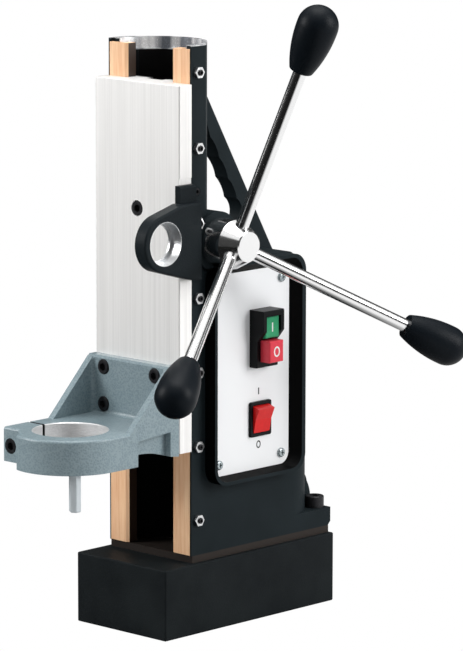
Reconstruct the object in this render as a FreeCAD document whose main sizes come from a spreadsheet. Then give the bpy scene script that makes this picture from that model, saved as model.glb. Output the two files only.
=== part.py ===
import FreeCAD, Part
import math
import os
import Sketcher

# Magnetic drill stand. The origin is the centre of the magnet's bottom face,
# +Z runs up the column, +X is the side of the control panel and the handle,
# and -Y is the front, where the slide and the drill holder are.

doc = FreeCAD.newDocument("drill_stand")
sheet = doc.addObject("Spreadsheet::Sheet", "size")
parts = []
V = FreeCAD.Vector


class Size:
    """A length or angle: its number now, and the sheet expression that gives it."""

    def __init__(self, number, text):
        self.number = float(number)
        self.text = text

    def __add__(self, other):
        return Size(self.number + number(other), "(%s + %s)" % (self.text, text(other)))

    def __radd__(self, other):
        return as_size(other) + self

    def __sub__(self, other):
        return Size(self.number - number(other), "(%s - %s)" % (self.text, text(other)))

    def __rsub__(self, other):
        return as_size(other) - self

    def __mul__(self, other):
        return Size(self.number * number(other), "(%s * %s)" % (self.text, text(other)))

    __rmul__ = __mul__

    def __truediv__(self, other):
        return Size(self.number / number(other), "(%s / %s)" % (self.text, text(other)))

    def __neg__(self):
        return Size(-self.number, "(0 - %s)" % self.text)


def number(value):
    return value.number if isinstance(value, Size) else float(value)


def text(value):
    return value.text if isinstance(value, Size) else "%.9g" % value


def as_size(value):
    return value if isinstance(value, Size) else Size(value, text(value))


def sine(angle):
    return Size(math.sin(math.radians(angle.number)), "sin(%s)" % angle.text)


def cosine(angle):
    return Size(math.cos(math.radians(angle.number)), "cos(%s)" % angle.text)


def tangent(angle):
    return Size(math.tan(math.radians(angle.number)), "tan(%s)" % angle.text)


def root(value):
    return Size(math.sqrt(value.number), "sqrt(%s)" % value.text)


def arc_radius(half_chord, rise):
    """Radius of an arc from half its chord and its rise."""
    return (half_chord * half_chord + rise * rise) / (rise * 2)


def drive(row, name, value):
    """Put a driving size in the sheet under its own name."""
    sheet.set("A%d" % row, name)
    sheet.set("B%d" % row, "%.9g" % value)
    sheet.setAlias("B%d" % row, name)
    return Size(value, "size." + name)


def bind(item, where, value):
    """Tie a property to the sheet."""
    if isinstance(value, Size):
        item.setExpression(where, value.text)


# Pieces and features

def place(item, spot, turn=None):
    """Put a piece at a spot, turned by a rotation."""
    base = V(*[number(value) for value in spot])
    item.Placement = FreeCAD.Placement(base, turn or FreeCAD.Rotation())
    for axis, value in zip("xyz", spot):
        bind(item, "Placement.Base." + axis, value)


def facing(x, y, z):
    """The turn that takes a piece's own +Z to a direction."""
    return FreeCAD.Rotation(V(0, 0, 1), V(x, y, z))


def new_body(label, spot=(0, 0, 0), turn=None):
    body = doc.addObject("PartDesign::Body", label)
    body.Label = label
    place(body, spot, turn)
    parts.append(body)
    return body


def sketch_on(body, role, level=0):
    """A sketch on one of the body's origin planes, moved along its normal."""
    planes = [item for item in body.Origin.OriginFeatures if item.Role == role]
    sketch = body.newObject("Sketcher::SketchObject", "sketch")
    sketch.AttachmentSupport = [(planes[0], "")]
    sketch.MapMode = "FlatFace"
    sketch.AttachmentOffset = FreeCAD.Placement(V(0, 0, number(level)), FreeCAD.Rotation())
    bind(sketch, "AttachmentOffset.Base.z", level)
    return sketch


def plan(body, z=0):
    return sketch_on(body, "XY_Plane", z)


def side(body, x=0):
    return sketch_on(body, "YZ_Plane", x)


def front(body, y=0):
    return sketch_on(body, "XZ_Plane", -as_size(y))


def pin_down(sketch, rules, values):
    """Add constraints and tie those that have a size to the sheet."""
    first = sketch.ConstraintCount
    sketch.addConstraint(rules)
    for step, value in enumerate(values):
        if value is not None:
            bind(sketch, "Constraints[%d]" % (first + step), value)


def outline(sketch, corners, bends=None):
    """Draw a closed outline. bends maps an edge's number to (radius, side):
    side 1 bows the edge to the right of its direction, -1 to the left."""
    bends = bends or {}
    points = [V(number(x), number(y), 0) for x, y in corners]
    count = len(points)
    ends = []
    for index in range(count):
        a = points[index]
        b = points[(index + 1) % count]
        if index not in bends:
            ends.append((sketch.addGeometry(Part.LineSegment(a, b), False), 1, 2))
            continue
        radius, bow = bends[index]
        along = b - a
        half = along.Length / 2
        away = V(along.y, -along.x, 0).normalize() * bow
        rise = number(radius) - math.sqrt(max(number(radius) ** 2 - half ** 2, 0))
        middle = (a + b) / 2 + away * rise
        if bow > 0:
            ends.append((sketch.addGeometry(Part.Arc(a, middle, b), False), 1, 2))
        else:
            ends.append((sketch.addGeometry(Part.Arc(b, middle, a), False), 2, 1))
    rules = []
    values = []
    for index in range(count):
        edge, start, stop = ends[index]
        after, after_start, after_stop = ends[(index + 1) % count]
        x, y = corners[index]
        rules.append(Sketcher.Constraint("Coincident", edge, stop, after, after_start))
        rules.append(Sketcher.Constraint("DistanceX", -1, 1, edge, start, number(x)))
        rules.append(Sketcher.Constraint("DistanceY", -1, 1, edge, start, number(y)))
        values += [None, x, y]
        if index in bends:
            rules.append(Sketcher.Constraint("Radius", edge, number(bends[index][0])))
            values.append(bends[index][0])
    pin_down(sketch, rules, values)
    return sketch


def rectangle(sketch, low_x, high_x, low_y, high_y):
    corners = [(low_x, low_y), (high_x, low_y), (high_x, high_y), (low_x, high_y)]
    return outline(sketch, corners)


def rounded(sketch, low_x, high_x, low_y, high_y, radius):
    """A rectangle whose four corners are arcs."""
    corners = [(low_x + radius, low_y), (high_x - radius, low_y),
               (high_x, low_y + radius), (high_x, high_y - radius),
               (high_x - radius, high_y), (low_x + radius, high_y),
               (low_x, high_y - radius), (low_x, low_y + radius)]
    return outline(sketch, corners, {edge: (radius, 1) for edge in (1, 3, 5, 7)})


def circle(sketch, x, y, radius):
    shape = Part.Circle(V(number(x), number(y), 0), V(0, 0, 1), number(radius))
    index = sketch.addGeometry(shape, False)
    rules = [Sketcher.Constraint("DistanceX", -1, 1, index, 3, number(x)),
             Sketcher.Constraint("DistanceY", -1, 1, index, 3, number(y)),
             Sketcher.Constraint("Radius", index, number(radius))]
    pin_down(sketch, rules, [x, y, radius])
    return sketch


def hexagon(sketch, across_flats):
    """A hexagon round the sketch's origin with a corner on its own +Y."""
    half = across_flats / 2
    corner = across_flats / math.sqrt(3)
    corners = [(0, -corner), (half, -corner / 2), (half, corner / 2),
               (0, corner), (-half, corner / 2), (-half, -corner / 2)]
    return outline(sketch, corners)


def extrude(body, kind, sketch, length, backwards=False):
    feature = body.newObject("PartDesign::" + kind, kind.lower())
    feature.Profile = sketch
    feature.Length = number(length)
    bind(feature, "Length", length)
    feature.Reversed = backwards
    sketch.Visibility = False
    return feature


def pad(body, sketch, length, backwards=False):
    """Grow along the sketch's normal, or against it."""
    return extrude(body, "Pad", sketch, length, backwards)


def cut(body, sketch, length, backwards=False):
    """Remove along the sketch's normal, or against it, and make sure that it cut."""
    doc.recompute()
    before = body.Shape.Volume
    feature = extrude(body, "Pocket", sketch, length, not backwards)
    doc.recompute()
    if body.Shape.Volume >= before:
        raise RuntimeError("a cut removes nothing in " + body.Label)
    return feature


def spin(body, sketch):
    """Turn a profile about the body's own Z axis."""
    feature = body.newObject("PartDesign::Revolution", "revolution")
    feature.Profile = sketch
    feature.ReferenceAxis = (sketch, ["V_Axis"])
    feature.Angle = 360
    return feature


def soften(body, size, wanted, kind="Fillet"):
    """Round or chamfer the edges of the body that a test picks."""
    doc.recompute()
    base = body.Tip
    names = []
    for index, edge in enumerate(base.Shape.Edges):
        if wanted(edge):
            names.append("Edge%d" % (index + 1))
    if not names:
        raise RuntimeError("no edge to soften on " + body.Label)
    feature = body.newObject("PartDesign::" + kind, kind.lower())
    feature.Base = (base, names)
    where = "Radius" if kind == "Fillet" else "Size"
    setattr(feature, where, number(size))
    bind(feature, where, size)
    return feature


def lies(edge, x=None, y=None, z=None):
    """Whether every corner of an edge has the coordinates that are given."""
    for vertex in edge.Vertexes:
        for value, wanted in ((vertex.X, x), (vertex.Y, y), (vertex.Z, z)):
            if wanted is not None and abs(value - number(wanted)) > 0.02:
                return False
    return True


def near_circle(edge, axis, centre, radius):
    """Whether an edge is a circle of a radius about a line along axis."""
    if not isinstance(edge.Curve, Part.Circle) or abs(edge.Curve.Radius - number(radius)) > 0.02:
        return False
    gap = edge.Curve.Center - V(*[number(value) for value in centre])
    gap = gap - axis * gap.dot(axis)
    return gap.Length < 0.02


# Driving sizes, in millimetres and degrees

fit_gap = 0.3
bore_gap = 0.05
edge_break = 0.6

magnet_width = 84.0
magnet_length = 165.0
magnet_height = 48.0
magnet_edge = 0.8
core_width = 34.0
core_length = 115.0
core_round = 8.0
coil_width = 14.0
coil_depth = 30.0
potting_thickness = 4.0
potting_recess = 0.5

spacer_thickness = 5.0
spacer_width = 77.0
spacer_front = -53.4
spacer_back = 80.6

column_width = 77.0
column_top = 394.5
column_front = -54.4
column_flat_back = -40.5
column_back = -14.5
shoulder_half = 21.0
shoulder_back = -21.6
channel_width = 54.6
channel_flat_back = -37.0
channel_back = -19.5
mouth_radius = 31.0
mouth_depth = 7.5
column_corner = 3.0
mouth_y = -48.0

flange_thickness = 12.5
flange_back = 82.7
flange_edge = 2.5
box_back = 46.0
box_top = 248.5
box_round = 7.0
rear_wall = 73.0
rear_corner = 27.0
rear_top = 205.0
rear_round = 9.0
foot_hollow_half = 26.0
foot_hollow_front = 2.0
foot_hollow_back = 60.0
foot_hollow_top = 121.0
hump_half = 23.3
hump_radius = 24.0
hump_back = 78.7
hump_waist = 70.0

grip_width = 12.0
grip_depth = 12.5
grip_slope = 59.8
grip_top = 371.8
grip_heel_y = 61.9
grip_heel_drop = 36.0
grip_heel_radius = 24.0
grip_round = 2.5
finger_pitch = 17.0
finger_rise = 1.3
finger_first_y = 11.6
web_top = 268.5
web_fall = 7.0
web_round = 8.0
grip_throat_y = 7.0
grip_throat_z = 340.5
finger_count = 3

strip_inner = 41.6
strip_outer = 74.4
strip_cover = 3.3
strip_leg = 6.2
strip_depth = 8.2
strip_bevel = 2.4
strip_drop = 2.5
strip_pin_radius = 1.1
strip_pin_depth = 4.0

gib_first = 76.9
gib_pitch = 50.0
gib_inset = 5.8
gib_radius = 2.0
gib_socket = 2.0
nut_across = 7.0
nut_height = 2.6
gib_stand = 1.2
lock_height = 298.0
lock_radius = 2.5
lock_socket = 2.5
gib_count = 7

slide_width = 78.6
slide_thickness = 11.5
slide_bottom = 124.5
slide_length = 245.0
neck_depth = 8.8
keeper_thickness = 3.0
keeper_outer = 26.0
rack_seat = 4.0
rack_width = 14.0
rack_pitch_height = 4.2
slide_screw_height = 285.0
slide_screw_pitch = 112.0
slide_screw_length = 15.5

gear_module = 1.25
gear_pressure = 20.0
gear_backlash = 0.24
gear_width = 13.0
gear_teeth = 16
teeth_below = 26
teeth_above = 20

shaft_height = 263.0
shaft_radius = 8.0
shaft_end = 6.0
shaft_gap = 0.03
bush_wall = 4.0
left_bush_wall = 2.0
boss_radius = 20.5
left_boss_radius = 16.0
boss_rise = 3.0
boss_root = 14.0

hub_radius = 16.4
hub_barrel = 15.3
hub_cone = 12.7
hub_bore_depth = 16.0
hub_room = 0.6
spoke_angle = 26.0
spoke_root = 14.9
spoke_radius = 4.5
spoke_start = 10.5
spoke_reach = 134.0
stud_radius = 3.0
stud_length = 18.0
knob_length = 46.5
knob_radius = 13.6
knob_neck = 8.0
knob_bow = 90.0
spoke_count = 3

holder_width = 78.0
holder_bottom = 122.8
holder_height = 60.7
holder_plate = 8.0
holder_bevel = 1.5
holder_fillet = 3.0
collar_reach = 62.5
collar_bore = 25.0
collar_bottom = 121.5
collar_height = 23.0
collar_edge = 1.8
gusset_wall = 5.0
gusset_reach = 37.5
gusset_lip = 1.0
slit_width = 2.0
lug_reach = 23.0
relief_radius = 34.0
relief_start = 12.0
arch_front = 38.2
arch_back = 8.4
arch_rise = 6.5
arch_end = 2.5
arch_radius = 70.0
pocket_depth = 5.0
pocket_top = 17.0

cap_radius = 3.0
cap_head = 5.0
cap_height = 6.0
cap_socket = 5.0
cap_play = 0.3
cap_sink = 5.0
holder_screw_x = 24.0
holder_screw_drop = 7.2
holder_screw_pitch = 25.2
holder_screw_length = 12.0
clamp_length = 32.0
clamp_inset = 6.3
clamp_height = 10.7

pin_across = 7.0
pin_length = 25.0
pin_radius = 3.0
pin_shank = 12.0
pin_circle = 33.0
pin_angle = 38.8

eye_y = -88.3
eye_z = 268.4
eye_radius = 19.0
eye_bore = 14.3
eye_lip = 1.5
eye_lip_width = 2.2
eye_thickness = 9.7
eye_bottom = 240.8
eye_shoulder = 292.5
eye_tab = 11.5
eye_block = 5.0
eye_block_depth = 15.0
eye_low_angle = 105.4
eye_high_angle = 104.8
eye_round = 1.5
seat_depth = 0.5
seat_margin = 4.0

rim_height = 9.5
rim_front = -41.4
rim_back = 46.8
rim_bottom = 98.7
rim_top = 248.3
rim_round = 12.0
rim_wall = 2.4
rim_back_wall = 3.4
rim_mouth_round = 10.0
panel_floor = 1.0
panel_thickness = 1.5
panel_front = -39.0
panel_back = 37.4
panel_bottom = 104.0
panel_top = 240.5
panel_round = 8.0
panel_screw_inset = 8.0
panel_screw_radius = 1.75
panel_screw_head = 3.2
panel_screw_height = 1.9
panel_screw_length = 9.0
panel_screw_slot = 0.8
cavity_front = -12.0
cavity_back = 24.0
cavity_bottom = 118.0
cavity_top = 226.0
cavity_depth = 55.0
cavity_round = 4.0

switch_y = 8.8
switch_z = 194.1
switch_width = 19.8
switch_length = 39.2
switch_depth = 7.3
hood_rise = 5.8
hood_flat = 14.0
hood_slant = 7.0
shell_inset = 1.6
shell_depth = 22.0
well_depth = 25.0
button_width = 13.2
button_length = 14.6
button_gap = 1.0
button_body = 19.0
start_sink = 1.4
stop_height = 8.5
button_round = 1.0

rocker_y = 8.35
rocker_z = 138.5
bezel_width = 20.5
bezel_length = 24.0
bezel_rise = 2.0
bezel_frame = 2.3
bezel_round = 1.5
rocker_body = 20.0
rocker_well = 10.0
rocker_gap = 0.3
rocker_back = 4.0
rocker_high = 7.2
rocker_high_z = 7.4
rocker_middle = 4.2
rocker_low = 2.4
rocker_step = 3.0

foot_screw_x = 30.2
foot_screw_y = 75.5
foot_screw_radius = 4.0
foot_screw_head = 6.5
foot_screw_height = 8.0
foot_screw_socket = 6.0
foot_screw_bite = 14.0
foot_screw_play = 0.3

gland_height = 77.0
gland_radius = 8.0
gland_length = 9.0
gland_nut = 20.0
gland_nut_height = 5.0
gland_bore = 4.0
gland_seat = 12.0
socket_y = 6.0
socket_z = 172.0
socket_radius = 21.5
socket_flange = 26.0
socket_rise = 4.0
socket_well = 19.0
socket_depth = 15.0
socket_floor = 3.0
socket_hole = 2.5
socket_pitch = 19.0

names = [name for name, value in globals().items() if type(value) is float]
for row, name in enumerate(names, 1):
    globals()[name] = drive(row, name, globals()[name])

# Levels and planes that several pieces share

column_half = column_width / 2
column_foot = magnet_height + spacer_thickness
column_height = column_top - column_foot
flange_top = column_foot + flange_thickness
channel_half = channel_width / 2
strip_face = column_front - fit_gap
strip_seat = strip_face + strip_cover
strip_half = strip_outer / 2
leg_inner = strip_inner / 2
leg_outer = leg_inner + strip_leg
slide_back = strip_face - fit_gap
slide_face = slide_back - slide_thickness
slide_half = slide_width / 2
slide_top = slide_bottom + slide_length
neck_half = leg_inner - fit_gap
neck_back = slide_back + neck_depth
gib_y = column_front + gib_inset
pitch_radius = gear_module * gear_teeth / 2
tip_radius = pitch_radius + gear_module
root_radius = pitch_radius - gear_module * 1.25
rack_pitch = gear_module * math.pi
pitch_line = neck_back + rack_pitch_height
shaft_y = pitch_line + pitch_radius
boss_face = column_half + boss_rise
hub_start = boss_face + fit_gap
spoke_x = hub_start + spoke_root
rim_face = column_half + rim_height
ledge = column_half + panel_floor
plate_face = ledge + panel_thickness
collar_top = collar_bottom + collar_height
collar_radius = holder_width / 2
collar_y = slide_face - collar_reach
holder_face = slide_face - holder_plate
lug_face = collar_y - lug_reach
seat_x = slide_half - seat_depth
eye_face = seat_x + eye_thickness
eye_top = eye_shoulder + eye_tab
start_z = switch_z + button_length / 2 + button_gap / 2 + fit_gap
stop_z = switch_z - button_length / 2 - button_gap / 2 - fit_gap
coil_top = potting_recess + potting_thickness + coil_depth
groove_width = core_width + coil_width * 2
groove_length = core_length + coil_width * 2
groove_round = core_round + coil_width


def centred(sketch, width, length, radius):
    """A rounded rectangle about the sketch's origin."""
    return rounded(sketch, -width / 2, width / 2, -length / 2, length / 2, radius)


def axis_of(body, role):
    lines = [item for item in body.Origin.OriginFeatures if item.Role == role]
    return (lines[0], [""])


def repeat(body, feature, role, count, angle=None, length=None):
    """Repeat a feature round or along one of the body's axes."""
    kind = "PolarPattern" if length is None else "LinearPattern"
    pattern = body.newObject("PartDesign::" + kind, "pattern")
    pattern.Originals = [feature]
    pattern.Occurrences = count
    if length is None:
        pattern.Axis = axis_of(body, role)
        pattern.Angle = angle
    else:
        pattern.Direction = axis_of(body, role)
        pattern.Length = number(length)
        bind(pattern, "Length", length)
    body.Tip = pattern
    return pattern


# Magnet

def magnet_ring(sketch, gap=0):
    """The ring round the magnet's core that the groove and its filling share."""
    inner = as_size(gap) * 2
    centred(sketch, groove_width - inner, groove_length - inner, groove_round - gap)
    centred(sketch, core_width + inner, core_length + inner, core_round + gap)
    return sketch


def make_magnet():
    body = new_body("magnet_housing")
    half_width = magnet_width / 2
    half_length = magnet_length / 2
    sketch = rectangle(plan(body), -half_width, half_width, -half_length, half_length)
    pad(body, sketch, magnet_height)
    soften(body, magnet_edge, lambda edge: edge.Length > 1, "Chamfer")
    cut(body, magnet_ring(plan(body)), coil_top)
    for direction in (1, -1):
        hole = circle(plan(body, magnet_height), foot_screw_x * direction, foot_screw_y,
                      foot_screw_radius + bore_gap)
        cut(body, hole, foot_screw_bite + 2, True)

    coil = new_body("magnet_coil", (0, 0, potting_recess + potting_thickness))
    pad(coil, magnet_ring(plan(coil), fit_gap), coil_depth)
    potting = new_body("coil_potting", (0, 0, potting_recess))
    pad(potting, magnet_ring(plan(potting), bore_gap), potting_thickness)

    spacer = new_body("spacer_plate", (0, 0, magnet_height))
    half = spacer_width / 2
    pad(spacer, rectangle(plan(spacer), -half, half, spacer_front, spacer_back), spacer_thickness)
    for direction in (1, -1):
        hole = circle(plan(spacer), foot_screw_x * direction, foot_screw_y,
                      foot_screw_radius + foot_screw_play)
        cut(spacer, hole, spacer_thickness)


# Frame casting

def add_column(body):
    bow = arc_radius(shoulder_half, column_back - shoulder_back)
    corners = [(-column_half, column_front), (column_half, column_front),
               (column_half, column_flat_back), (shoulder_half, shoulder_back),
               (-shoulder_half, shoulder_back), (-column_half, column_flat_back)]
    pad(body, outline(plan(body, column_foot), corners, {3: (bow, 1)}), column_height)
    soften(body, column_corner, lambda edge: lies(edge, y=column_flat_back)
           and edge.BoundBox.ZLength > 50)


def add_box(body):
    """The control box behind the column, its hump and the foot flange."""
    sketch = rectangle(plan(body, column_foot), -column_half, column_half,
                       column_flat_back - column_corner - 1, box_back)
    pad(body, sketch, box_top - column_foot)
    soften(body, box_round, lambda edge: lies(edge, y=box_back, z=box_top))
    sketch = rectangle(plan(body, column_foot), -column_half, column_half,
                       column_front, flange_back)
    pad(body, sketch, flange_thickness)
    soften(body, flange_edge, lambda edge: lies(edge, y=flange_back, z=column_foot), "Chamfer")
    add_rear(body)
    start = box_back - 5
    top = hump_waist + hump_radius
    corners = [(start, flange_top - 1), (hump_back, flange_top - 1), (hump_back, hump_waist),
               (hump_back - hump_radius, top), (start, top)]
    sketch = outline(side(body, -hump_half), corners, {2: (hump_radius, 1)})
    pad(body, sketch, hump_half * 2)


def add_rear(body):
    """The control box's deeper lower part, with large upright corners."""
    half = column_half - rear_corner
    start = box_back - 4
    corners = [(-column_half, start), (column_half, start), (column_half, box_back),
               (half, rear_wall), (-half, rear_wall), (-column_half, box_back)]
    bends = {edge: (rear_corner, 1) for edge in (2, 4)}
    pad(body, outline(plan(body, column_foot), corners, bends), rear_top - column_foot)
    soften(body, rear_round, lambda edge: lies(edge, z=rear_top)
           and edge.BoundBox.YMax > number(box_back) + 1 and edge.BoundBox.YMin > number(start) + 1)


def add_rim(body):
    """The raised rim round the panel, with a back wall that slopes outwards."""
    sketch = rounded(side(body, column_half - 1), rim_front, rim_back, rim_bottom, rim_top, rim_round)
    pad(body, sketch, rim_height + 1)
    inner = rounded(side(body, plate_face), panel_front, panel_back,
                    panel_bottom, panel_top, panel_round)
    outer = rounded(side(body, rim_face), rim_front + rim_wall, rim_back - rim_back_wall,
                    rim_bottom + rim_wall, rim_top - rim_wall, rim_mouth_round)
    doc.recompute()
    mouth = body.newObject("PartDesign::SubtractiveLoft", "mouth")
    mouth.Profile = inner
    mouth.Sections = [outer]
    mouth.Ruled = True
    sketch = rounded(side(body, ledge), panel_front, panel_back,
                     panel_bottom, panel_top, panel_round)
    cut(body, sketch, panel_thickness)


def add_bosses(body):
    """The round bosses that carry the pinion's bushes."""
    sketch = circle(side(body, boss_root), shaft_y, shaft_height, boss_radius)
    pad(body, sketch, boss_face - boss_root)
    sketch = circle(side(body, -boss_root), shaft_y, shaft_height, left_boss_radius)
    pad(body, sketch, boss_face - boss_root, True)
    soften(body, edge_break, lambda edge: lies(edge, x=boss_face) and edge.Length > 50)


def add_grip(body):
    """The sloping grip with its finger scallops, and the web under its opening."""
    rise = tangent(grip_slope)
    inside = (column_back + channel_back) / 2
    reach = grip_depth / cosine(grip_slope)
    step_y = finger_pitch * cosine(grip_slope)
    heel_z = grip_top - (grip_heel_y - column_back) * rise
    corners = [(inside, grip_top - (inside - column_back) * rise), (grip_heel_y, heel_z),
               (box_back - 2, heel_z - grip_heel_drop), (box_back - 2, box_top - 6),
               (inside, box_top - 6), (inside, web_top)]
    bends = {1: (grip_heel_radius, -1)}
    low_y = column_back + finger_first_y + step_y * finger_count
    corners[-1] = (inside, web_top + web_round)
    corners.append((column_back, web_top + web_round))
    corners.append((column_back + web_round * 0.7, web_top))
    corners.append((low_y - 3, web_top - web_fall))
    bends[6] = (web_round, 1)
    bends[8] = (finger_pitch * 0.7, 1)
    bow = arc_radius(finger_pitch / 2, finger_rise)
    for index in range(finger_count, -1, -1):
        y = column_back + finger_first_y + step_y * index
        corners.append((y, grip_top - (y - column_back) * rise - reach))
        if index:
            bends[len(corners) - 1] = (bow, 1)
    corners.append((column_back + grip_throat_y, grip_throat_z))
    corners.append((inside, grip_throat_z + 4))
    pad(body, outline(side(body, -grip_width / 2), corners, bends), grip_width)
    half = grip_width / 2
    for place_x in (half, -half):
        soften(body, grip_round, lambda edge: lies(edge, x=place_x) and edge.Length > 100
               and edge.BoundBox.ZMin > number(heel_z) - 1)


def carve_channel(body):
    """The slide's channel, the seats of the strips and the open mouth at the top."""
    bow = arc_radius(channel_half, channel_back - channel_flat_back)
    clear = column_front - 3
    corners = [(-strip_half, clear), (strip_half, clear), (strip_half, strip_seat),
               (channel_half, strip_seat), (channel_half, channel_flat_back),
               (-channel_half, channel_flat_back), (-channel_half, strip_seat),
               (-strip_half, strip_seat)]
    sketch = outline(plan(body, column_foot), corners, {4: (bow, 1)})
    cut(body, sketch, column_height)
    cut(body, circle(plan(body, column_top), 0, mouth_y, mouth_radius), mouth_depth, True)


def carve_box(body):
    """The cavity for the switches, the socket's bore and the gland's bore."""
    sketch = rounded(side(body, ledge), cavity_front, cavity_back,
                     cavity_bottom, cavity_top, cavity_round)
    cut(body, sketch, cavity_depth, True)
    sketch = circle(side(body, -column_half), socket_y, socket_z, socket_radius + bore_gap)
    cut(body, sketch, column_half * 2 - cavity_depth)
    sketch = rectangle(plan(body, column_foot), -foot_hollow_half, foot_hollow_half,
                       foot_hollow_front, foot_hollow_back)
    cut(body, sketch, foot_hollow_top - column_foot)
    sketch = circle(front(body, hump_back), 0, gland_height, gland_radius + bore_gap)
    cut(body, sketch, hump_back - foot_hollow_back + 1)
    sketch = circle(side(body, boss_face), shaft_y, shaft_height, hub_radius + hub_room)
    cut(body, sketch, rim_height)


def drill_frame(body):
    """Bores of the bushes and the holes of the screws."""
    cut(body, circle(side(body, 0), shaft_y, shaft_height, shaft_radius + bush_wall + bore_gap),
        boss_face)
    cut(body, circle(side(body, 0), shaft_y, shaft_height, shaft_radius + left_bush_wall + bore_gap),
        boss_face, True)
    sketch = circle(side(body, leg_outer - 1), gib_y, gib_first, gib_radius + bore_gap)
    hole = cut(body, sketch, column_half - leg_outer + 2)
    repeat(body, hole, "Z_Axis", gib_count, length=gib_pitch * (gib_count - 1))
    level = gib_first + gib_pitch * 4
    sketch = circle(side(body, column_half), gib_y, level, nut_across / math.sqrt(3) + fit_gap)
    cut(body, sketch, boss_rise + 1)
    sketch = circle(side(body, leg_outer - 1), gib_y, lock_height, lock_radius + bore_gap)
    cut(body, sketch, column_half - leg_outer + 2)
    for direction in (1, -1):
        sketch = circle(plan(body, column_foot), foot_screw_x * direction, foot_screw_y,
                        foot_screw_radius + foot_screw_play)
        cut(body, sketch, flange_thickness)
    for y, z in panel_spots():
        cut(body, circle(side(body, ledge), y, z, panel_screw_radius + bore_gap),
            panel_screw_length, True)


def panel_spots():
    """The four corners of the panel where its screws sit."""
    return [(y, z) for y in (panel_front + panel_screw_inset, panel_back - panel_screw_inset)
            for z in (panel_bottom + panel_screw_inset, panel_top - panel_screw_inset)]


def make_frame():
    body = new_body("frame_casting")
    add_column(body)
    add_box(body)
    add_rim(body)
    add_bosses(body)
    add_grip(body)
    carve_channel(body)
    carve_box(body)
    drill_frame(body)


# Guide strips and their adjusting screws

def make_strip(label, direction):
    body = new_body(label)
    outer = strip_half * direction
    inner = leg_inner * direction
    leg = leg_outer * direction
    back = strip_face + strip_depth
    corners = [(inner, strip_face + strip_bevel / 2), (inner + strip_bevel * direction, strip_face),
               (outer, strip_face), (outer, strip_seat), (leg, strip_seat), (leg, back),
               (inner, back)]
    length = column_height - strip_drop - fit_gap
    pad(body, outline(plan(body, column_foot + fit_gap), corners), length)
    middle = (strip_half + leg_inner) / 2 * direction
    sketch = circle(plan(body, column_foot + fit_gap + length), middle,
                    strip_face + strip_cover / 2, strip_pin_radius)
    cut(body, sketch, strip_pin_depth, True)


def set_screw(label, spot, radius, length, across):
    """A headless socket screw whose outer end is at the spot, facing +X."""
    body = new_body(label, spot, facing(1, 0, 0))
    pad(body, circle(plan(body), 0, 0, radius), length, True)
    soften(body, radius / 5, lambda edge: isinstance(edge.Curve, Part.Circle), "Chamfer")
    cut(body, hexagon(plan(body), across), across, True)


def make_gib_screws():
    end = column_half + nut_height + gib_stand
    for index in range(gib_count):
        z = gib_first + gib_pitch * index
        name = str(index + 1)
        set_screw("gib_screw_" + name, (end, gib_y, z), gib_radius, end - leg_outer, gib_socket)
        nut = new_body("gib_nut_" + name, (column_half, gib_y, z), facing(1, 0, 0))
        pad(nut, hexagon(plan(nut), nut_across), nut_height)
        cut(nut, circle(plan(nut), 0, 0, gib_radius + bore_gap), nut_height)
    set_screw("lock_screw", (column_half, gib_y, lock_height), lock_radius,
              column_half - leg_outer, lock_socket)


def cap_screw(label, spot, turn, radius, length, head, height, across):
    """A socket head screw: the spot is under its head, which grows along its +Z."""
    body = new_body(label, spot, turn)
    pad(body, circle(plan(body), 0, 0, head), height)
    soften(body, edge_break, lambda edge: lies(edge, z=height), "Chamfer")
    pad(body, circle(plan(body), 0, 0, radius), length, True)
    cut(body, hexagon(plan(body, height), across), height / 2, True)


def make_foot_screws():
    length = flange_thickness + spacer_thickness + foot_screw_bite
    for name, direction in (("right", 1), ("left", -1)):
        cap_screw("foot_screw_" + name, (foot_screw_x * direction, foot_screw_y, flange_top), None,
                  foot_screw_radius, length, foot_screw_head, foot_screw_height,
                  foot_screw_socket)


# Slide

def make_slide():
    body = new_body("slide_plate")
    sketch = rectangle(plan(body, slide_bottom), -slide_half, slide_half, slide_face, slide_back)
    pad(body, sketch, slide_length)
    soften(body, edge_break, lambda edge: lies(edge, y=slide_face), "Chamfer")
    sketch = rectangle(plan(body, slide_bottom), -neck_half, neck_half, slide_back - 1, neck_back)
    pad(body, sketch, slide_length)
    half = rack_width / 2 + bore_gap
    sketch = rectangle(plan(body, slide_bottom), -half, half, neck_back - rack_seat, neck_back + 1)
    cut(body, sketch, slide_length)
    sketch = rectangle(side(body, seat_x), slide_face - 1, slide_back + 1,
                       eye_bottom, eye_top + seat_margin)
    cut(body, sketch, seat_depth + 1)
    for z in slide_screw_levels():
        hole = circle(front(body, slide_face), 0, z, cap_head + cap_play)
        cut(body, hole, cap_height, True)
        hole = circle(front(body, slide_face), 0, z, cap_radius + cap_play)
        cut(body, hole, slide_thickness + neck_depth, True)
    for x, z in holder_spots():
        hole = circle(front(body, slide_face), x, z, cap_radius + bore_gap)
        cut(body, hole, holder_screw_length - holder_plate + cap_sink + 1, True)


def slide_screw_levels():
    return [slide_screw_height, slide_screw_height - slide_screw_pitch]


def make_keeper(label, direction):
    """The steel bar behind the strips that holds the slide back."""
    body = new_body(label)
    ends = [(rack_width / 2 + 1) * direction, keeper_outer * direction]
    ends.sort(key=number)
    sketch = rectangle(plan(body, slide_bottom), ends[0], ends[1],
                       neck_back, neck_back + keeper_thickness)
    pad(body, sketch, slide_length)


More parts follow.
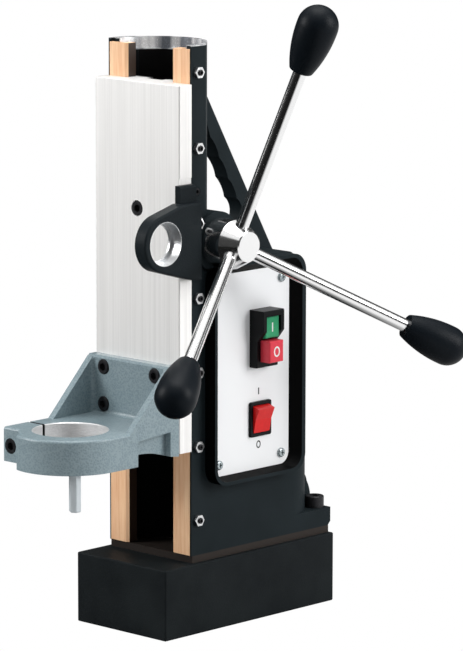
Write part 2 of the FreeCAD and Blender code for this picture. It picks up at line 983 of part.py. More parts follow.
def make_rack():
    """A rack of involute form: straight flanks at the pressure angle."""
    body = new_body("rack")
    half = rack_width / 2
    slope = tangent(gear_pressure)
    tip = pitch_line + gear_module
    root_line = pitch_line - gear_module * 1.25
    low = shaft_height - rack_pitch * (teeth_below + 0.5)
    length = rack_pitch * (teeth_below + teeth_above + 1)
    sketch = rectangle(plan(body, low), -half, half, neck_back - rack_seat, tip)
    pad(body, sketch, length)
    middle = shaft_height - rack_pitch * teeth_below
    opening = rack_pitch / 4 + gear_backlash / 4
    wide = opening + (gear_module + 1) * slope
    narrow = opening - gear_module * 1.25 * slope
    corners = [(root_line, middle - narrow), (tip + 1, middle - wide),
               (tip + 1, middle + wide), (root_line, middle + narrow)]
    space = cut(body, outline(side(body, -half - 1), corners), rack_width + 2)
    repeat(body, space, "Z_Axis", teeth_below + teeth_above + 1,
           length=rack_pitch * (teeth_below + teeth_above))
    for z in slide_screw_levels():
        hole = circle(front(body, neck_back - rack_seat), 0, z, cap_radius + bore_gap)
        cut(body, hole, rack_seat + 2, True)


def make_slide_screws():
    turn = facing(0, -1, 0)
    for index, z in enumerate(slide_screw_levels()):
        cap_screw("slide_screw_%d" % (index + 1), (0, slide_face + cap_height, z), turn,
                  cap_radius, slide_screw_length, cap_head, cap_height, cap_socket)


# Drill holder

def holder_spots():
    top = holder_bottom + holder_height - holder_screw_drop
    return [(holder_screw_x * direction, z) for direction in (1, -1)
            for z in (top, top - holder_screw_pitch)]


def make_holder():
    body = new_body("drill_holder")
    half = collar_radius
    top = holder_bottom + holder_height
    sketch = rectangle(plan(body, holder_bottom), -half, half, holder_face, slide_face)
    pad(body, sketch, holder_height)
    soften(body, holder_bevel, lambda edge: lies(edge, y=holder_face, z=top), "Chamfer")
    step_y = -root(collar_radius * collar_radius - relief_start * relief_start)
    relief_y = -root(relief_radius * relief_radius - relief_start * relief_start)
    lug_x = -root(relief_radius * relief_radius - lug_reach * lug_reach)
    corners = [(half, holder_face + 1), (-half, holder_face + 1), (-half, lug_face),
               (lug_x, lug_face), (-relief_start, collar_y + relief_y),
               (-relief_start, collar_y + step_y), (half, collar_y)]
    bends = {3: (relief_radius, 1), 5: (collar_radius, 1)}
    pad(body, outline(plan(body, collar_bottom), corners, bends), collar_height)
    soften(body, collar_edge, lambda edge: lies(edge, z=collar_top)
           and edge.BoundBox.YMax < number(holder_face) - 1 and edge.Length > 8)
    for start in (half, -half + gusset_wall):
        corners = [(holder_face + 1, collar_top - 3), (holder_face + 1, top - gusset_lip),
                   (holder_face, top - gusset_lip), (holder_face - gusset_reach, collar_top - 0.5),
                   (holder_face - gusset_reach, collar_top - 3)]
        pad(body, outline(side(body, start), corners), gusset_wall, True)
    wall_x = half - gusset_wall
    soften(body, holder_fillet, lambda edge: lies(edge, y=holder_face, z=collar_top)
           or lies(edge, y=holder_face, x=wall_x) or lies(edge, y=holder_face, x=-wall_x))
    cut(body, circle(plan(body, collar_bottom), 0, collar_y, collar_bore), collar_height)
    soften(body, edge_break, lambda edge: near_circle(edge, V(0, 0, 1), (0, collar_y, 0), collar_bore)
           and edge.Length > 20, "Chamfer")
    low = collar_bottom - 1
    start = slide_face - arch_front
    corners = [(start, low), (slide_face + 1, low), (slide_face + 1, holder_bottom),
               (slide_face - arch_back, collar_bottom + arch_end), (start, collar_bottom + arch_rise)]
    sketch = outline(side(body, -half - 1), corners, {3: (arch_radius, 1)})
    cut(body, sketch, holder_width + 2)
    level = collar_bottom + pocket_top
    corners = [(start, low), (holder_face, low), (holder_face, level + 2), (start, level)]
    for wall in (half - pocket_depth, -half - 1):
        cut(body, outline(side(body, wall), corners), pocket_depth + 1)
    half_slit = slit_width / 2
    sketch = rectangle(plan(body, collar_bottom), -half - 1, -collar_bore + 2,
                       collar_y - half_slit, collar_y + half_slit)
    cut(body, sketch, collar_height)
    clamp_x = -half + clamp_inset
    clamp_z = collar_bottom + clamp_height
    cut(body, circle(front(body, lug_face), clamp_x, clamp_z, cap_head + cap_play), cap_height, True)
    cut(body, circle(front(body, lug_face), clamp_x, clamp_z, cap_radius + bore_gap),
        cap_height + clamp_length + 2, True)
    for x, z in holder_spots():
        hole = circle(front(body, holder_face - holder_fillet), x, z, cap_head + cap_play)
        cut(body, hole, cap_sink + holder_fillet, True)
        hole = circle(front(body, holder_face), x, z, cap_radius + cap_play)
        cut(body, hole, holder_plate, True)
    x, y = pin_spot()
    cut(body, circle(plan(body, collar_bottom), x, y, pin_radius + bore_gap), pin_shank + 1)

    turn = facing(0, -1, 0)
    for index, (screw_x, z) in enumerate(holder_spots()):
        cap_screw("holder_screw_%d" % (index + 1), (screw_x, holder_face + cap_sink, z), turn,
                  cap_radius, holder_screw_length, cap_head, cap_height, cap_socket)
    cap_screw("clamp_screw", (clamp_x, lug_face + cap_height, clamp_z), turn,
              cap_radius, clamp_length, cap_head, cap_height, cap_socket)
    pin = new_body("stop_pin", (x, y, collar_bottom))
    pad(pin, hexagon(plan(pin), pin_across), pin_length, True)
    soften(pin, edge_break, lambda edge: lies(edge, z=-pin_length), "Chamfer")
    pad(pin, circle(plan(pin), 0, 0, pin_radius), pin_shank)


def pin_spot():
    return pin_circle * cosine(pin_angle), collar_y - pin_circle * sine(pin_angle)


# Eye bracket on the slide's side

def make_eye():
    body = new_body("eye_bracket")
    low = (eye_y - eye_radius * cosine(as_size(180) - eye_low_angle),
           eye_z - eye_radius * sine(eye_low_angle))
    high = (eye_y - eye_radius * cosine(as_size(180) - eye_high_angle),
            eye_z + eye_radius * sine(eye_high_angle))
    back = slide_back
    corners = [(back, eye_bottom), (back, eye_shoulder), (back - eye_block_depth - 2, eye_shoulder),
               high, (eye_y, eye_z), low, (back - 9, eye_bottom + 1)]
    pad(body, outline(side(body, seat_x), corners), eye_thickness)
    pad(body, circle(side(body, seat_x), eye_y, eye_z, eye_radius), eye_thickness)
    soften(body, eye_round, lambda edge: lies(edge, x=eye_face)
           and edge.BoundBox.YMin < number(back) - 1)
    sketch = rectangle(side(body, seat_x), back - eye_block_depth, back, eye_shoulder - 2, eye_top)
    pad(body, sketch, eye_block)
    soften(body, eye_round, lambda edge: lies(edge, x=seat_x + eye_block, z=eye_top), "Chamfer")
    cut(body, circle(side(body, seat_x), eye_y, eye_z, eye_bore - eye_lip_width), eye_thickness)
    cut(body, circle(side(body, eye_face), eye_y, eye_z, eye_bore), eye_thickness - eye_lip, True)


# Feed shaft, hub and handles

def make_shaft():
    """The pinion and its shaft in one: spaces between involute teeth, cut round."""
    turn = facing(1, 0, 0).multiply(FreeCAD.Rotation(V(0, 0, 1), 180.0 / gear_teeth))
    body = new_body("pinion_shaft", (0, shaft_y, shaft_height), turn)
    half = gear_width / 2
    pad(body, circle(plan(body, -half), 0, 0, tip_radius), gear_width)
    left = boss_face - left_bush_wall
    for direction in (1, -1):
        end = boss_face if direction == 1 else left
        pad(body, circle(plan(body, half * direction), 0, 0, shaft_radius), end - half,
            direction == -1)
    pad(body, circle(plan(body, boss_face), 0, 0, shaft_end), fit_gap + hub_bore_depth - 0.5)
    soften(body, edge_break, lambda edge: edge.BoundBox.ZLength < 0.01 and
           abs(edge.BoundBox.ZMin) > number(left) + 5 or lies(edge, z=-left), "Chamfer")
    pressure = math.radians(gear_pressure.number)
    base = pitch_radius * cosine(gear_pressure)
    over = tip_radius * 1.02
    spread = (math.tan(pressure) - pressure) * 180 / math.pi
    quarter = 90.0 / gear_teeth

    def flank(radius):
        """Half the angle of a space at a radius."""
        lean = 0 if radius is base else involute(radius)
        play = gear_backlash / pitch_radius * 45 / math.pi
        return as_size(quarter - spread) + play + lean

    def involute(radius):
        angle = math.acos(base.number / radius.number)
        return as_size((math.tan(angle) - angle) * 180 / math.pi)

    corners = []
    for radius, angle in ((root_radius, flank(base) * 0.8), (base, flank(base)), (over, flank(over))):
        corners.append((radius * sine(angle), radius * cosine(angle)))
    corners += [(-x, y) for x, y in reversed(corners)]
    bend = pitch_radius * sine(gear_pressure) * 1.14
    sketch = outline(plan(body, -half - 1), corners, {1: (bend, 1), 3: (bend, 1)})
    space = cut(body, sketch, gear_width + 2)
    repeat(body, space, "Z_Axis", gear_teeth, angle=360)


def make_bushes():
    right = new_body("bush_right", (channel_half, shaft_y, shaft_height), facing(1, 0, 0))
    length = boss_face - channel_half
    pad(right, circle(circle(plan(right), 0, 0, shaft_radius + bush_wall),
                      0, 0, shaft_radius + shaft_gap), length)
    left = new_body("bush_left", (-boss_face, shaft_y, shaft_height), facing(1, 0, 0))
    pad(left, circle(plan(left), 0, 0, shaft_radius + left_bush_wall), length)
    cut(left, circle(plan(left, left_bush_wall - fit_gap), 0, 0, shaft_radius + shaft_gap), length)


def spoke_way(index):
    """The direction of a spoke in the frame: out from the hub and away from the column."""
    phase = 90 + 360.0 / spoke_count * index
    lean = math.radians(spoke_angle.number)
    turn = math.radians(phase)
    return V(math.sin(lean), math.cos(lean) * math.cos(turn), math.cos(lean) * math.sin(turn))


def along_spoke(index, distance):
    phase = as_size(90 + 360.0 / spoke_count * index)
    flat = distance * cosine(spoke_angle)
    return (spoke_x + distance * sine(spoke_angle), shaft_y + flat * cosine(phase),
            shaft_height + flat * sine(phase))


def make_hub():
    body = new_body("handle_hub", (hub_start, shaft_y, shaft_height), facing(1, 0, 0))
    nose = hub_radius - hub_cone * tangent(spoke_angle)
    length = hub_barrel + hub_cone
    corners = [(shaft_end + bore_gap, 0), (hub_radius, 0), (hub_radius, hub_barrel), (nose, length),
               (0, length), (0, hub_bore_depth), (shaft_end + bore_gap, hub_bore_depth)]
    spin(body, outline(front(body), corners))
    soften(body, edge_break, lambda edge: lies(edge, z=length) or
           (lies(edge, z=0) and edge.Length > 60), "Chamfer")
    doc.recompute()
    bore = body.newObject("PartDesign::SubtractiveCylinder", "spoke_bore")
    bore.Radius = number(spoke_radius + bore_gap)
    bind(bore, "Radius", spoke_radius + bore_gap)
    bore.Height = 20
    out = V(-math.cos(math.radians(spoke_angle.number)), 0, math.sin(math.radians(spoke_angle.number)))
    start = spoke_start - bore_gap
    spot = (-start * cosine(spoke_angle), as_size(0), spoke_root + start * sine(spoke_angle))
    bore.Placement = FreeCAD.Placement(V(*[item.number for item in spot]),
                                       FreeCAD.Rotation(V(0, 0, 1), out))
    for axis, value in zip("xyz", spot):
        bind(bore, "Placement.Base." + axis, value)
    repeat(body, bore, "Z_Axis", spoke_count, angle=360)


def make_spokes():
    for index in range(spoke_count):
        way = spoke_way(index)
        turn = FreeCAD.Rotation(V(0, 0, 1), way)
        name = str(index + 1)
        spoke = new_body("spoke_" + name, along_spoke(index, spoke_start), turn)
        length = spoke_reach - spoke_start
        pad(spoke, circle(plan(spoke), 0, 0, spoke_radius), length)
        pad(spoke, circle(plan(spoke, length), 0, 0, stud_radius), stud_length)
        soften(spoke, edge_break, lambda edge: lies(edge, z=length + stud_length), "Chamfer")
        knob = new_body("knob_" + name, along_spoke(index, spoke_reach), turn)
        shoulder = knob_length - knob_radius
        depth = stud_length + 1
        hole = stud_radius + bore_gap
        corners = [(hole, 0), (knob_neck, 0), (knob_radius, shoulder), (0, knob_length),
                   (0, depth), (hole, depth)]
        spin(knob, outline(front(knob), corners, {1: (knob_bow, 1), 2: (knob_radius, 1)}))


# Panel and switches

def make_panel():
    body = new_body("panel_plate")
    sketch = rounded(side(body, ledge), panel_front + bore_gap, panel_back - bore_gap,
                     panel_bottom + bore_gap, panel_top - bore_gap, panel_round)
    pad(body, sketch, panel_thickness)
    for y, z, width, length in openings():
        gap = fit_gap
        sketch = rectangle(side(body, ledge), y - width / 2 - gap, y + width / 2 + gap,
                           z - length / 2 - gap, z + length / 2 + gap)
        cut(body, sketch, panel_thickness)
    for y, z in panel_spots():
        cut(body, circle(side(body, ledge), y, z, panel_screw_radius + cap_play), panel_thickness)
    for index, (y, z) in enumerate(panel_spots()):
        make_panel_screw("panel_screw_%d" % (index + 1), y, z)


def openings():
    """Centre and size of the two openings in the panel."""
    inset = shell_inset * 2
    return [(switch_y, switch_z, switch_width - inset, switch_length - inset),
            (rocker_y, rocker_z, bezel_width - inset, bezel_length - inset)]


def make_panel_screw(label, y, z):
    """A pan head screw with a cross recess."""
    body = new_body(label, (plate_face, y, z), facing(1, 0, 0))
    pad(body, circle(plan(body), 0, 0, panel_screw_head), panel_screw_height)
    soften(body, panel_screw_height * 0.6, lambda edge: lies(edge, z=panel_screw_height))
    pad(body, circle(plan(body), 0, 0, panel_screw_radius), panel_screw_length, True)
    half = panel_screw_slot / 2
    reach = panel_screw_head * 0.55
    for wide, tall in ((reach, half), (half, reach)):
        sketch = rectangle(plan(body, panel_screw_height), -wide, wide, -tall, tall)
        cut(body, sketch, panel_screw_height * 0.7, True)


def shell(body, y, z, width, length, depth):
    """The part of a switch that reaches back through the panel."""
    sketch = rectangle(side(body, plate_face), y - width / 2, y + width / 2,
                       z - length / 2, z + length / 2)
    pad(body, sketch, depth, True)


def make_motor_switch():
    body = new_body("motor_switch_body")
    low = switch_z - switch_length / 2
    high = switch_z + switch_length / 2
    flat = plate_face + switch_depth
    hood = flat + hood_rise
    corners = [(plate_face, low), (flat, low), (flat, high - hood_flat - hood_slant),
               (hood, high - hood_flat), (hood, high), (plate_face, high)]
    sketch = outline(front(body, switch_y + switch_width / 2), corners)
    pad(body, sketch, switch_width)
    soften(body, button_round, lambda edge: lies(edge, x=hood, z=high) or lies(edge, x=flat, z=low))
    shell(body, *openings()[0], shell_depth)
    wide = button_width / 2 + fit_gap
    tall = button_length / 2 + fit_gap
    for z in (start_z, stop_z):
        sketch = rectangle(side(body, hood + 1), switch_y - wide, switch_y + wide, z - tall, z + tall)
        cut(body, sketch, well_depth + hood_rise + 1, True)
    for label, z, face in (("start_button", start_z, hood - start_sink),
                           ("stop_button", stop_z, flat + stop_height)):
        make_button(label, z, face)


def make_button(label, z, face):
    body = new_body(label, (face, switch_y, z), facing(1, 0, 0))
    half = button_width / 2
    tall = button_length / 2
    sketch = rectangle(plan(body), -tall, tall, -half, half)
    pad(body, sketch, button_body + (face - plate_face - switch_depth), True)
    soften(body, button_round, lambda edge: lies(edge, z=0))


def make_rocker():
    body = new_body("rocker_housing")
    half = bezel_width / 2
    tall = bezel_length / 2
    sketch = rounded(side(body, plate_face), rocker_y - half, rocker_y + half,
                     rocker_z - tall, rocker_z + tall, bezel_round)
    pad(body, sketch, bezel_rise)
    soften(body, edge_break, lambda edge: lies(edge, x=plate_face + bezel_rise))
    shell(body, *openings()[1], rocker_body)
    half = half - bezel_frame
    tall = tall - bezel_frame
    sketch = rectangle(side(body, plate_face + bezel_rise), rocker_y - half, rocker_y + half,
                       rocker_z - tall, rocker_z + tall)
    cut(body, sketch, bezel_rise + rocker_well, True)

    rocker = new_body("magnet_rocker", (plate_face, rocker_y, rocker_z))
    reach = tall - rocker_gap
    low_z = -root(reach * reach - rocker_low * rocker_low)
    step_z = root(reach * reach - rocker_step * rocker_step)
    back_z = root(reach * reach - rocker_back * rocker_back)
    corners = [(rocker_middle, 0), (rocker_high, rocker_high_z), (rocker_step, step_z),
               (-rocker_back, back_z), (-rocker_back, -back_z), (rocker_low, low_z)]
    sketch = outline(front(rocker, half - rocker_gap), corners, {2: (reach, 1), 4: (reach, 1)})
    pad(rocker, sketch, (half - rocker_gap) * 2)


# Socket for the drill's plug and the gland of the supply cord

def make_connections():
    body = new_body("drill_socket", (-column_half, socket_y, socket_z), facing(-1, 0, 0))
    pad(body, circle(plan(body), 0, 0, socket_flange), socket_rise)
    soften(body, edge_break, lambda edge: lies(edge, z=socket_rise))
    pad(body, circle(plan(body), 0, 0, socket_radius), socket_depth + socket_floor, True)
    cut(body, circle(plan(body, socket_rise), 0, 0, socket_well), socket_depth + socket_rise, True)
    for direction in (1, -1):
        hole = circle(plan(body, -socket_depth), 0, socket_pitch / 2 * direction, socket_hole)
        cut(body, hole, socket_floor, True)

    gland = new_body("cable_gland", (0, hump_back, gland_height), facing(0, 1, 0))
    pad(gland, circle(plan(gland), 0, 0, gland_radius), gland_seat - 1, True)
    pad(gland, hexagon(plan(gland), gland_nut), gland_nut_height)
    pad(gland, circle(plan(gland, gland_nut_height), 0, 0, gland_radius), gland_length)
    soften(gland, edge_break * 3, lambda edge: lies(edge, z=gland_nut_height + gland_length))
    sketch = circle(plan(gland, gland_nut_height + gland_length), 0, 0, gland_bore)
    cut(gland, sketch, gland_length + gland_nut_height + gland_seat, True)


make_magnet()
make_frame()
make_strip("guide_strip_right", 1)
make_strip("guide_strip_left", -1)
make_gib_screws()
make_foot_screws()
make_slide()
make_keeper("keeper_right", 1)
make_keeper("keeper_left", -1)
make_rack()
make_slide_screws()
make_holder()
make_eye()
make_shaft()
make_bushes()
make_hub()
make_spokes()
make_panel()
make_motor_switch()
make_rocker()
make_connections()

doc.recompute()

os.makedirs("parts", exist_ok=True)
for item in doc.Objects:
    if "Invalid" in item.State or "Error" in item.State:
        raise RuntimeError("%s failed: %s" % (item.Name, item.State))
for item in parts:
    if item.Shape.isNull() or not item.Shape.isValid() or item.Shape.Volume <= 0:
        raise RuntimeError("no valid shape for " + item.Label)
    item.Shape.exportStep("parts/%s.step" % item.Label)
print("written", len(parts))
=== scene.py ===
import math

import bmesh
import bpy
from mathutils import Matrix, Vector


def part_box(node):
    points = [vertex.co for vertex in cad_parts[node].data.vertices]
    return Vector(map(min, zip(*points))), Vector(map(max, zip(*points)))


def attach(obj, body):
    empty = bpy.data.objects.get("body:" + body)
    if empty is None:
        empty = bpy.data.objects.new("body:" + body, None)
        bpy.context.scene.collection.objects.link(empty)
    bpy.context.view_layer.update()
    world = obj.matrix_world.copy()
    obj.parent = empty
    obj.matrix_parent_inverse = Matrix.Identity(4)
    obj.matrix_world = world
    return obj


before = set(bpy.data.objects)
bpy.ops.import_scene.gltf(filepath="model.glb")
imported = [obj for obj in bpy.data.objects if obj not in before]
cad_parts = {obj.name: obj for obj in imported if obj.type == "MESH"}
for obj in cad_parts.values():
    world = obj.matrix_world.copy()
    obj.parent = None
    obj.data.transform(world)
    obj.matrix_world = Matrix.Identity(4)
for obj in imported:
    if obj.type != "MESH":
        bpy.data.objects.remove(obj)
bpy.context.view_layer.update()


# Magnet foot: a milled steel housing painted satin black, with a winding of
# copper wire cast in resin in the groove of its underside. A dark spacer
# plate lies between the housing and the column's flange.

class Field:
    """A shader socket that takes part in sums."""

    tree = None

    def __init__(self, socket):
        self.socket = socket

    @staticmethod
    def node(kind, output, settings, values):
        """One output of a new node, its settings made before its sockets are fed."""
        made = Field.tree.nodes.new(kind)
        for name, setting in settings.items():
            setattr(made, name, setting)
        for name, value in values.items():
            if isinstance(value, Field):
                Field.tree.links.new(value.socket, made.inputs[name])
            else:
                made.inputs[name].default_value = value
        return Field(made.outputs[output])

    def joined(self, operation, *others):
        values = dict(enumerate((self, *others)))
        return Field.node("ShaderNodeMath", 0, {"operation": operation}, values)

    def __add__(self, other):
        return self.joined("ADD", other)

    def __sub__(self, other):
        return self.joined("SUBTRACT", other)

    def __rsub__(self, other):
        return Field.node("ShaderNodeMath", 0, {"operation": "SUBTRACT"}, {0: other, 1: self})

    def __mul__(self, other):
        return self.joined("MULTIPLY", other)

    def __abs__(self):
        return self.joined("ABSOLUTE")

    __radd__ = __add__
    __rmul__ = __mul__

    def over(self, low, high):
        """0 below low, 1 above high, straight between."""
        values = {"Value": self, "From Min": low, "From Max": high}
        return Field.node("ShaderNodeMapRange", "Result", {}, values)

    def far_from(self, other, a, b):
        """Distance from a point, over two fields."""
        across = self - a
        along = other - b
        return (across * across + along * along).joined("POWER", 0.5)

    def between(self, first, second):
        """A colour from first to second as the field goes from 0 to 1."""
        ends = [end if isinstance(end, Field) else (*end, 1) for end in (first, second)]
        return Field.node("ShaderNodeMix", 2, {"data_type": "RGBA"}, {0: self, 6: ends[0], 7: ends[1]})


def place(scale=(1, 1, 1)):
    """Object coordinates, each axis multiplied by its scale."""
    coordinates = Field.node("ShaderNodeTexCoord", "Object", {}, {})
    return Field.node("ShaderNodeMapping", "Vector", {}, {"Vector": coordinates, "Scale": scale})


def noise(size, scale=(1, 1, 1), detail=3.0, roughness=0.5):
    """Noise whose features are about size metres across."""
    values = {"Vector": place(scale), "Scale": 1 / size, "Detail": detail, "Roughness": roughness}
    return Field.node("ShaderNodeTexNoise", "Fac", {}, values)


def material(name, metallic=0.0, coat=0.0, coat_roughness=0.1, specular=0.5):
    """A new material, its shader ready for fields."""
    made = bpy.data.materials.new(name)
    made.use_nodes = True
    Field.tree = made.node_tree
    shader = Field.tree.nodes["Principled BSDF"]
    shader.inputs["Metallic"].default_value = metallic
    shader.inputs["Coat Weight"].default_value = coat
    shader.inputs["Coat Roughness"].default_value = coat_roughness
    shader.inputs["Specular IOR Level"].default_value = specular
    return made


def feed(made, socket, field):
    shader = made.node_tree.nodes["Principled BSDF"]
    made.node_tree.links.new(field.socket, shader.inputs[socket])


def bump(made, field, depth):
    """Relief of a depth in metres."""
    values = {"Distance": depth, "Strength": 1.0, "Height": field}
    feed(made, "Normal", Field.node("ShaderNodeBump", "Normal", {}, values))


def dress(made, *names):
    """Give nodes a material. A name that ends in _ stands for all that start with it."""
    for key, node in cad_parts.items():
        if any(key == name or (name.endswith("_") and key.startswith(name)) for name in names):
            for material_slot in node.material_slots:
                material_slot.material = made


magnet_paint = material("magnet_paint", specular=0.07)
grain = noise(0.0009, detail=4)
cloud = noise(0.03, detail=2)
feed(magnet_paint, "Base Color", cloud.over(0.3, 0.7).between((0.008, 0.0105, 0.012), (0.013, 0.0165, 0.018)))
feed(magnet_paint, "Roughness", 0.42 + 0.25 * grain)
bump(magnet_paint, grain, 0.00012)
dress(magnet_paint, "magnet_housing")

spacer_paint = material("spacer_paint", specular=0.2)
grain = noise(0.001)
feed(spacer_paint, "Base Color", grain.between((0.014, 0.011, 0.009), (0.028, 0.02, 0.016)))
feed(spacer_paint, "Roughness", 0.5 + 0.2 * grain)
dress(spacer_paint, "spacer_plate")

resin = material("resin")
cloud = noise(0.004)
feed(resin, "Base Color", cloud.between((0.02, 0.016, 0.013), (0.04, 0.03, 0.025)))
feed(resin, "Roughness", 0.35 + 0.3 * cloud)
bump(resin, cloud, 0.0003)
dress(resin, "coil_potting")

copper = material("copper", metallic=1.0)
turns = noise(0.0006, (1, 1, 8))
feed(copper, "Base Color", turns.between((0.45, 0.2, 0.09), (0.7, 0.34, 0.17)))
feed(copper, "Roughness", 0.3 + 0.2 * turns)
dress(copper, "magnet_coil")


# Frame: one grey iron casting with column, control box, grip and foot, in a
# fine textured anthracite paint. Its top and the round mouth of its channel
# are machined bare after painting.

def spot():
    """The X, Y and Z of a point, in metres."""
    split = Field.node("ShaderNodeSeparateXYZ", "X", {}, {"Vector": place()}).socket.node
    return [Field(split.outputs[axis]) for axis in "XYZ"]


# Every edge is the place where its finish or painted shade begins, then the place where it is full.
channel_y, channel_round, channel_side = -0.0495, (0.0310, 0.0306), (0.0279, 0.0272)
channel_front, channel_end = (-0.054, -0.0535), (0.3868, 0.3864)
recess_floor, recess_rim, recess_back = (0.0386, 0.0388), (0.04795, 0.0478), (0.0437, 0.0434)
recess_bottom, recess_top = (0.0998, 0.1002), (0.2465, 0.2460)
mouth_y, mouth_round, mouth_bottom = -0.048, (0.0313, 0.0311), (0.3862, 0.3866)
column_top = (0.3942, 0.3944)

frame_paint = material("frame_paint", specular=0.07)
grain = noise(0.0006, detail=5, roughness=0.6)
cloud = noise(0.04, detail=2)
x, y, z = spot()
# Painted shade: the inside of the channel and the recess inside the raised rim round the panel are coloured
# near-black.
channel = (y.over(*channel_front) * x.far_from(y, 0, channel_y).over(*channel_round)
           * abs(x).over(*channel_side) * z.over(*channel_end))
recess = (x.over(*recess_floor) * x.over(*recess_rim) * y.over(*recess_back)
          * z.over(*recess_bottom) * z.over(*recess_top))
mouth = x.far_from(y, 0, mouth_y).over(*mouth_round) * z.over(*mouth_bottom)
bare = mouth.joined("MAXIMUM", z.over(*column_top))
paint = (0.5 * cloud + 0.5 * grain).over(0.3, 0.7).between((0.007, 0.0115, 0.0135), (0.014, 0.0205, 0.024))
shaded = channel.joined("MAXIMUM", recess).between(paint, (0.0012, 0.0014, 0.0016))
milling = noise(0.009, (1, 1, 0.05), detail=2).over(0.38, 0.6)
machined = milling.between((0.22, 0.24, 0.27), (0.95, 0.96, 0.97))
feed(frame_paint, "Base Color", bare.between(shaded, machined))
feed(frame_paint, "Metallic", 0.55 * bare)
feed(frame_paint, "Roughness", 0.42 - 0.3 * bare + 0.25 * grain)
bump(frame_paint, grain, 0.00014)
dress(frame_paint, "frame_casting")


# Guide strips: milled bronze, streaked along their length, let into the
# column's front. Their inner faces, on which the slide's neck runs, are
# painted dark brown as painted shade. The shaft's bushes are turned from the same bronze.

running_side, running_front = (0.0211, 0.0209), (-0.0536, -0.0533)

bronze = material("bronze", specular=0.6)
streak = noise(0.0016, (1, 1, 0.04), detail=5, roughness=0.65)
patch = noise(0.012, (1, 1, 0.3), detail=3)
x, y, z = spot()
# Painted shade: the strips' inner faces are coloured dark brown.
inner_face_shade = abs(x).over(*running_side) * y.over(*running_front)
tone = (0.65 * streak + 0.35 * patch).over(0.32, 0.68)
strip_tone = tone.between((0.76, 0.37, 0.18), (1.0, 0.68, 0.41))
feed(bronze, "Base Color", inner_face_shade.between(strip_tone, (0.035, 0.018, 0.01)))
feed(bronze, "Roughness", 0.32 + 0.3 * streak)
bump(bronze, streak, 0.00008)
dress(bronze, "guide_strip_", "bush_")


# Slide: a drawn aluminium plate, its faces brushed along the column. It is
# held behind the strips by the keepers, and takes the drill holder.

brushed = material("brushed_aluminium", metallic=0.4)
fine = noise(0.0017, (1, 1, 0.006), detail=5, roughness=0.7)
broad = noise(0.006, (1, 1, 0.05), detail=2)
tone = 0.85 * fine + 0.15 * broad
feed(brushed, "Base Color", tone.over(0.3, 0.7).between((0.80, 0.79, 0.775), (0.97, 0.96, 0.945)))
feed(brushed, "Roughness", 0.4 + 0.16 * fine)
bump(brushed, fine, 0.00002)
dress(brushed, "slide_plate")


# Drill holder: cast aluminium in a blue-grey hammer finish, screwed to the
# slide. The collar's bore is turned bare, and its sawn slit is painted near-black as painted shade.

def cells(size, smooth=0.6):
    """Rounded cells about size metres across."""
    values = {"Vector": place(), "Scale": 1 / size, "Smoothness": smooth}
    return Field.node("ShaderNodeTexVoronoi", "Distance", {"feature": "SMOOTH_F1"}, values)


bore_y, bore_edge = -0.1287, (0.0256, 0.0254)
slit_y, slit_start, slit_side = -0.129, (-0.0245, -0.0255), (0.00125, 0.00105)

hammer = material("hammer_finish", coat=0.2, coat_roughness=0.2)
dimple = cells(0.0013)
cloud = noise(0.01)
x, y, z = spot()
bare = x.far_from(y, 0, bore_y).over(*bore_edge)
# Painted shade: the walls of the collar's slit are coloured near-black.
slit_shade = x.over(*slit_start) * abs(y - slit_y).over(*slit_side)
paint = (1.2 * dimple + 0.3 * cloud).over(0.2, 0.9).between((0.145, 0.207, 0.236), (0.228, 0.300, 0.328))
turned = noise(0.0009, (0.2, 0.2, 1)).between((0.68, 0.69, 0.70), (0.92, 0.92, 0.92))
feed(hammer, "Base Color", slit_shade.between(bare.between(paint, turned), (0.003, 0.003, 0.004)))
feed(hammer, "Metallic", 0.6 * bare)
feed(hammer, "Roughness", 0.36 - 0.1 * bare + 0.15 * cloud)
bump(hammer, dimple, 0.00012)
dress(hammer, "drill_holder")


# Eye bracket: a black painted casting, screwed to the slide's right side,
# with its round eye turned bare.

eye_y, eye_z, eye_edge = -0.0883, 0.2684, (0.0147, 0.0145)

cast_black = material("cast_black", specular=0.06)
grain = noise(0.0009, detail=4)
x, y, z = spot()
bare = y.far_from(z, eye_y, eye_z).over(*eye_edge)
paint = grain.between((0.007, 0.010, 0.012), (0.014, 0.019, 0.022))
turned = noise(0.0009).between((0.5, 0.51, 0.52), (0.75, 0.76, 0.77))
feed(cast_black, "Base Color", bare.between(paint, turned))
feed(cast_black, "Metallic", 0.95 * bare)
feed(cast_black, "Roughness", 0.33 - 0.1 * bare + 0.25 * grain)
bump(cast_black, grain, 0.00014)
dress(cast_black, "eye_bracket")


# Fasteners: zinc plated hexagon nuts on the adjusting screws, nickel plated
# oval heads on the panel, a drawn hexagon stop pin, and blackened steel for
# all the socket screws.

zinc = material("zinc", metallic=1.0)
cloud = noise(0.0015)
feed(zinc, "Base Color", cloud.between((0.55, 0.56, 0.57), (0.8, 0.8, 0.8)))
feed(zinc, "Roughness", 0.22 + 0.2 * cloud)
dress(zinc, "gib_nut_")

plated = material("plated_screw", metallic=1.0)
cloud = noise(0.0011)
feed(plated, "Base Color", cloud.between((0.26, 0.31, 0.33), (0.50, 0.55, 0.56)))
feed(plated, "Roughness", 0.18 + 0.2 * cloud)
dress(plated, "panel_screw_")

pin_steel = material("pin_steel", metallic=0.25, specular=0.3)
drawn = noise(0.0009, (1, 1, 0.1), detail=4)
feed(pin_steel, "Base Color", drawn.between((0.48, 0.53, 0.56), (0.66, 0.71, 0.74)))
feed(pin_steel, "Roughness", 0.4 + 0.2 * drawn)
dress(pin_steel, "stop_pin")

blackened = material("blackened", metallic=0.3, specular=0.25)
cloud = noise(0.0015)
feed(blackened, "Base Color", cloud.between((0.012, 0.012, 0.014), (0.03, 0.03, 0.033)))
feed(blackened, "Roughness", 0.3 + 0.2 * cloud)
dress(blackened, "gib_screw_", "foot_screw_", "holder_screw_", "slide_screw_", "clamp_screw", "lock_screw")


# Drive: ground steel for the keepers, the rack and the shaft with its
# pinion, all of them behind the slide and in the bosses.

